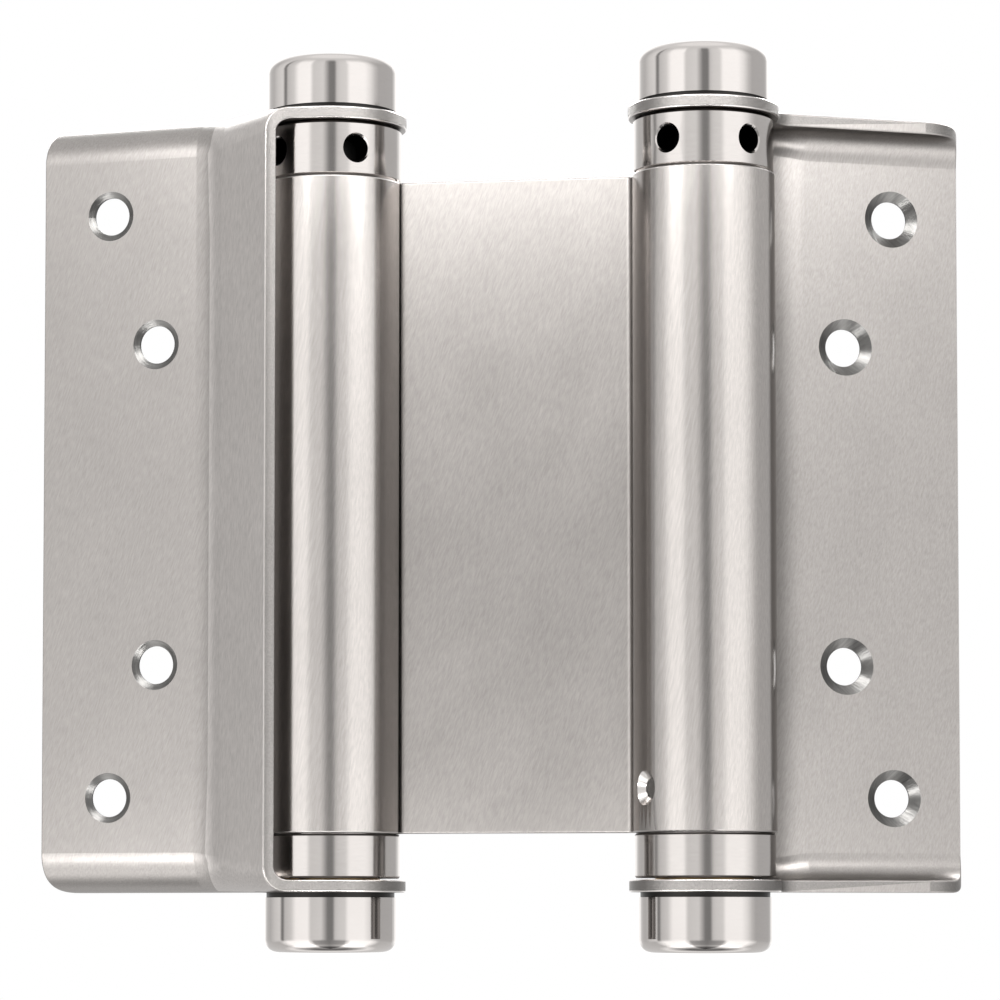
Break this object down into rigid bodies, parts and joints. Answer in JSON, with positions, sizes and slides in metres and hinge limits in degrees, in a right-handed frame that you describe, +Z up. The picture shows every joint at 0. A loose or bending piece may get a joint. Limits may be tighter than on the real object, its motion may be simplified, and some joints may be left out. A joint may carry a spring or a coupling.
{
  "type": "double action cafe door hinge",
  "caption": "Double action spring hinge: two stamped screw-on leaves on the two rolled barrels of one web plate, with tension collars and round caps.",
  "frame": {"origin": "middle of the jamb leaf's flat mounting face", "axes": "+Z up along the barrels, -Y out of the jamb leaf's mounting face, +X from the jamb leaf towards the web"},
  "size_m": [0.1417, 0.0634, 0.1467],
  "materials": {
    "leaf_steel": "fine diagonal satin grain",
    "web_steel": "fine satin grain",
    "collar_steel": "turned and polished",
    "cap_steel": "turned and polished",
    "neck_steel": "turned",
    "pin_steel": "turned",
    "spindle_steel": "ground rod",
    "washer_bronze": "plain bearing bronze",
    "spring_steel": "oiled spring wire"
  },
  "bodies": {
    "jamb": {"jamb_leaf": "leaf_steel", "jamb_spindle": "spindle_steel", "jamb_top_thrust_washer": "washer_bronze", "jamb_bottom_thrust_washer": "washer_bronze", "jamb_top_neck": "neck_steel", "jamb_bottom_neck": "neck_steel", "jamb_top_cap": "cap_steel", "jamb_bottom_cap": "cap_steel"},
    "web": {"web_plate": "web_steel", "jamb_bearing_plug": "collar_steel", "jamb_cross_pin": "pin_steel", "jamb_spring": "spring_steel", "door_bearing_plug": "collar_steel", "door_cross_pin": "pin_steel", "door_spring": "spring_steel"},
    "door": {"door_leaf": "leaf_steel", "door_spindle": "spindle_steel", "door_top_thrust_washer": "washer_bronze", "door_bottom_thrust_washer": "washer_bronze", "door_top_neck": "neck_steel", "door_bottom_neck": "neck_steel", "door_top_cap": "cap_steel", "door_bottom_cap": "cap_steel"},
    "jamb_collar": {"jamb_tension_collar": "collar_steel"},
    "door_collar": {"door_tension_collar": "collar_steel"}
  },
  "joints": [
    {"name": "jamb_swing", "type": "hinge", "parent": "jamb", "child": "web", "pos_m": [0.03285, 0.009, 0], "axis": [0, 0, 1], "range_deg": [-76, 169]},
    {"name": "door_swing", "type": "hinge", "parent": "web", "child": "door", "pos_m": [0.09302, 0.0207, 0], "axis": [0, 0, 1], "range_deg": [-207.2, 37.8]},
    {"name": "jamb_collar_wind", "type": "hinge", "parent": "web", "child": "jamb_collar", "pos_m": [0.03285, 0.009, 0], "axis": [0, 0, 1], "range_deg": [0, 144], "stiffness_Nm_per_rad": 0.9, "deforming": ["jamb_spring"]},
    {"name": "door_collar_wind", "type": "hinge", "parent": "web", "child": "door_collar", "pos_m": [0.09302, 0.0207, 0], "axis": [0, 0, 1], "range_deg": [0, 144], "stiffness_Nm_per_rad": 0.9, "deforming": ["door_spring"]}
  ]
}
